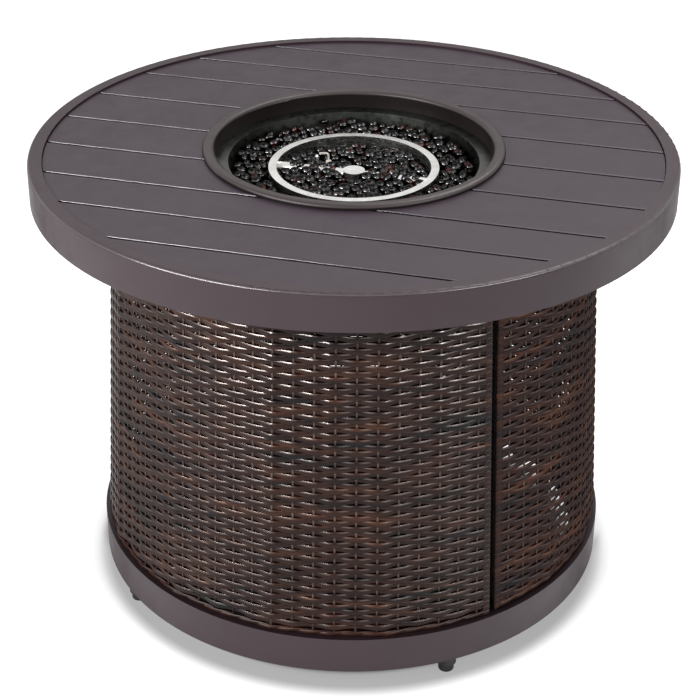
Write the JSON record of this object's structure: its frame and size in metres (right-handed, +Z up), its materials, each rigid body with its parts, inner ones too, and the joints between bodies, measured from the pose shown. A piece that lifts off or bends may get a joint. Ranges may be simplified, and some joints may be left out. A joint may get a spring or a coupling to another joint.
{
  "type": "gas fire pit table",
  "caption": "Round gas fire pit table: slatted metal top with a sunken ring burner in fire glass, on a tapered woven base with a door for the gas cylinder.",
  "frame": {"origin": "on the floor under the axis of the round table", "axes": "+Z up, +X towards the door and along the slats, +Y towards the side that holds the control panel"},
  "size_m": [0.8128, 0.8128, 0.594],
  "materials": {
    "top_steel": "dark purple-brown powder coat, fine texture",
    "frame_steel": "black powder coat",
    "band_steel": "dark purple-brown powder coat, fine texture",
    "wicker": "woven resin wicker in mixed dark browns",
    "stainless": "brushed, heat tinted",
    "galvanised": "galvanised sheet",
    "zinc": "zinc plated",
    "brass": "machined",
    "fire_glass": "black tumbled beads, glossy",
    "pad_rubber": "moulded",
    "black_plastic": "moulded, fine grain",
    "ceramic": "glazed ceramic",
    "lead_sleeve": "silicone sleeve"
  },
  "bodies": {
    "table": {"base_bottom_band": "band_steel", "base_posts": "frame_steel", "base_top_ring": "frame_steel", "bowl_support_ring": "frame_steel", "burner_pan": "galvanised", "burner_ring": "stainless", "control_panel": "frame_steel", "fire_collar": "top_steel", "fire_glass_bed": "fire_glass", "foot_inserts": "frame_steel", "frame_bolts": "zinc", "frame_nuts": "zinc", "gas_jet": "brass", "gas_tube": "galvanised", "gas_valve": "brass", "heat_shield": "galvanised", "hinge_fixed_leaves": "frame_steel", "hinge_pins": "zinc", "igniter_body": "black_plastic", "igniter_electrode": "ceramic", "igniter_lead": "lead_sleeve", "igniter_spring": "zinc", "magnet_catch": "black_plastic", "mixer_tube": "stainless", "panel_screws": "zinc", "probe_bracket": "stainless", "slat_01": "top_steel", "slat_02": "top_steel", "slat_03": "top_steel", "slat_04": "top_steel", "slat_05": "top_steel", "slat_06": "top_steel", "slat_07": "top_steel", "slat_08": "top_steel", "slat_09": "top_steel", "slat_10": "top_steel", "slat_pads": "pad_rubber", "stem_spring": "zinc", "table_rim": "top_steel", "tank_ring": "frame_steel", "tank_tray": "frame_steel", "thermocouple": "stainless", "thermocouple_lead": "stainless", "top_rail_left": "frame_steel", "top_rail_right": "frame_steel", "wicker_wall": "wicker"},
    "door": {"door_frame": "frame_steel", "door_wicker": "wicker", "hinge_door_leaves": "frame_steel", "strike_plate": "zinc"},
    "valve_plunger": {"stem_washer": "zinc"},
    "knob": {"control_knob": "black_plastic", "valve_stem": "zinc"},
    "igniter_push": {"igniter_button": "black_plastic"},
    "shutter": {"air_shutter": "stainless"},
    "clamp_screw": {"tank_clamp_screw": "black_plastic"},
    "foot_1": {"levelling_foot_1": "pad_rubber"},
    "foot_2": {"levelling_foot_2": "pad_rubber"},
    "foot_3": {"levelling_foot_3": "pad_rubber"},
    "foot_4": {"levelling_foot_4": "pad_rubber"}
  },
  "joints": [
    {"name": "door_hinge", "type": "hinge", "parent": "table", "child": "door", "pos_m": [0.23917, 0.22303, 0.30023], "axis": [-0.0421, -0.0393, 0.9983], "range_deg": [0, 120]},
    {"name": "knob_push", "type": "slide", "parent": "table", "child": "valve_plunger", "axis": [0.263, -0.9631, -0.0576], "range_m": [0, 0.003], "stiffness_N_per_m": 1500, "springref_m": -0.002, "deforming": ["stem_spring"]},
    {"name": "knob_turn", "type": "hinge", "parent": "valve_plunger", "child": "knob", "pos_m": [-0.05973, 0.31745, 0.46238], "axis": [-0.263, 0.9631, 0.0576], "range_deg": [0, 180]},
    {"name": "igniter_press", "type": "slide", "parent": "table", "child": "igniter_push", "axis": [0.263, -0.9631, -0.0576], "range_m": [0, 0.004], "stiffness_N_per_m": 800, "springref_m": -0.002, "deforming": ["igniter_spring"]},
    {"name": "air_shutter_turn", "type": "hinge", "parent": "table", "child": "shutter", "pos_m": [-0.03424, 0.12541, 0.508], "axis": [-0.2634, 0.9647, 0], "range_deg": [0, 90]},
    {"name": "clamp_screw_feed", "type": "slide", "parent": "table", "child": "clamp_screw", "axis": [-1, 0, 0], "range_m": [0, 0.008]},
    {"name": "foot_1_adjust", "type": "slide", "parent": "table", "child": "foot_1", "axis": [0, 0, -1], "range_m": [0, 0.01]},
    {"name": "foot_2_adjust", "type": "slide", "parent": "table", "child": "foot_2", "axis": [0, 0, -1], "range_m": [0, 0.01]},
    {"name": "foot_3_adjust", "type": "slide", "parent": "table", "child": "foot_3", "axis": [0, 0, -1], "range_m": [0, 0.01]},
    {"name": "foot_4_adjust", "type": "slide", "parent": "table", "child": "foot_4", "axis": [0, 0, -1], "range_m": [0, 0.01]}
  ]
}
